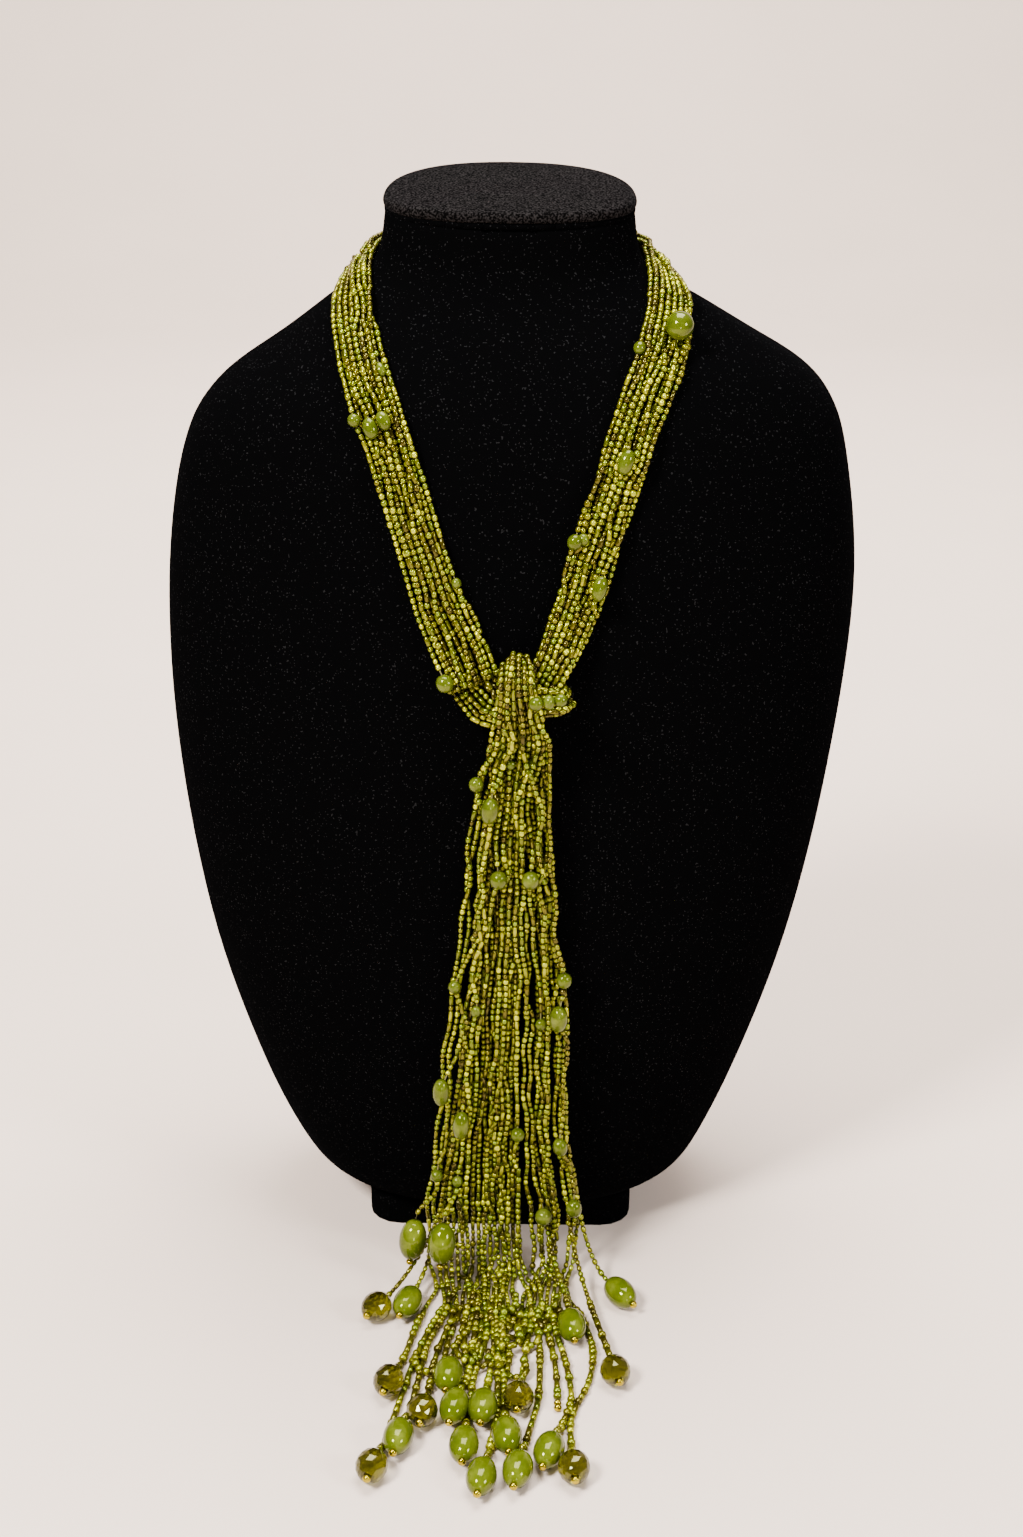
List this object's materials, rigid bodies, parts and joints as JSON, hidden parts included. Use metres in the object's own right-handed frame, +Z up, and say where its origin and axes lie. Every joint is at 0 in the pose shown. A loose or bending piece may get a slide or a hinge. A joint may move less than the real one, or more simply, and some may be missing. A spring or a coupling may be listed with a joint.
{
  "type": "beaded lariat necklace on a neck bust",
  "caption": "Multi-strand green seed bead lariat, tied in a half-knot on a black velvet neck bust, with a long tassel ending in jade and crystal drops.",
  "frame": {"origin": "centre of the bust's foot on the surface it stands on", "axes": "+Z up the bust; -Y the way the bust's chest and the tassel face; +X to the right for a viewer in front"},
  "size_m": [0.2488, 0.2607, 0.3887],
  "materials": {
    "velvet": "black velvet with a soft sheen",
    "cap_velvet": "charcoal velvet",
    "seed_beads": "glossy translucent peridot glass",
    "jade_glass": "glossy cloudy jade-green glass",
    "olive_crystal": "faceted dark olive crystal"
  },
  "bodies": {
    "root": {"bead_collar_1": "jade_glass", "bead_collar_2": "jade_glass", "bead_collar_3": "jade_glass", "bead_collar_4": "jade_glass", "bead_collar_5": "jade_glass", "bead_collar_6": "jade_glass", "bead_collar_7": "jade_glass", "bead_collar_8": "jade_glass", "bead_tassel_1": "jade_glass", "bead_tassel_2": "jade_glass", "bead_tassel_3": "jade_glass", "bead_tassel_4": "jade_glass", "bead_tassel_5": "jade_glass", "bead_tassel_6": "jade_glass", "bead_tassel_7": "jade_glass", "bead_tassel_8": "jade_glass", "bust_foot": "velvet", "bust_form": "velvet", "bust_neck_cap": "cap_velvet", "collar_left": "seed_beads", "collar_right": "seed_beads", "drop_facet_c": "olive_crystal", "drop_facet_e": "olive_crystal", "drop_facet_k": "olive_crystal", "drop_facet_l": "olive_crystal", "drop_facet_n": "olive_crystal", "drop_facet_s": "olive_crystal", "drop_facet_w": "olive_crystal", "drop_oval_a": "jade_glass", "drop_oval_b": "jade_glass", "drop_oval_d": "jade_glass", "drop_oval_f": "jade_glass", "drop_oval_i": "jade_glass", "drop_oval_j": "jade_glass", "drop_oval_m": "jade_glass", "drop_oval_o": "jade_glass", "drop_oval_p": "jade_glass", "drop_oval_q": "jade_glass", "drop_oval_r": "jade_glass", "drop_oval_t": "jade_glass", "drop_oval_u": "jade_glass", "drop_oval_v": "jade_glass", "knot_fall": "seed_beads", "knot_wrap": "seed_beads", "tassel": "seed_beads"}
  },
  "joints": []
}
